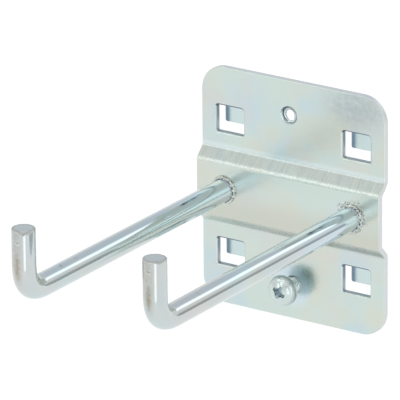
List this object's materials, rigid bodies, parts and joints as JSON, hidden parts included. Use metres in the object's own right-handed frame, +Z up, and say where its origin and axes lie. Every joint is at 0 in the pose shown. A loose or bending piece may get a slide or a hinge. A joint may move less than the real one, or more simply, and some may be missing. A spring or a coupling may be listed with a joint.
{
  "type": "pegboard hook",
  "caption": "Double tool hook for square-hole panels: round upturned bars welded to a folded zinc-plated plate with rear hanging lugs and a cross-head locking screw.",
  "frame": {"origin": "middle of the lug pattern on the plane of the plate's rear face, which meets the panel", "axes": "+X to the viewer's right, +Y back through the panel, +Z up; the bars point along -Y"},
  "size_m": [0.055, 0.0983, 0.064],
  "materials": {
    "plate_sheet": "bright zinc-plated steel sheet, satin",
    "bar_steel": "bright zinc-plated drawn bar",
    "screw_steel": "bright zinc-plated screw"
  },
  "bodies": {
    "holder": {"back_plate": "plate_sheet", "left_hook": "bar_steel", "right_hook": "bar_steel"},
    "screw": {"lock_screw": "screw_steel"}
  },
  "joints": [
    {"name": "screw_travel", "type": "slide", "parent": "holder", "child": "screw", "axis": [0, 1, 0], "range_m": [-0.0004, 0.0035]}
  ]
}
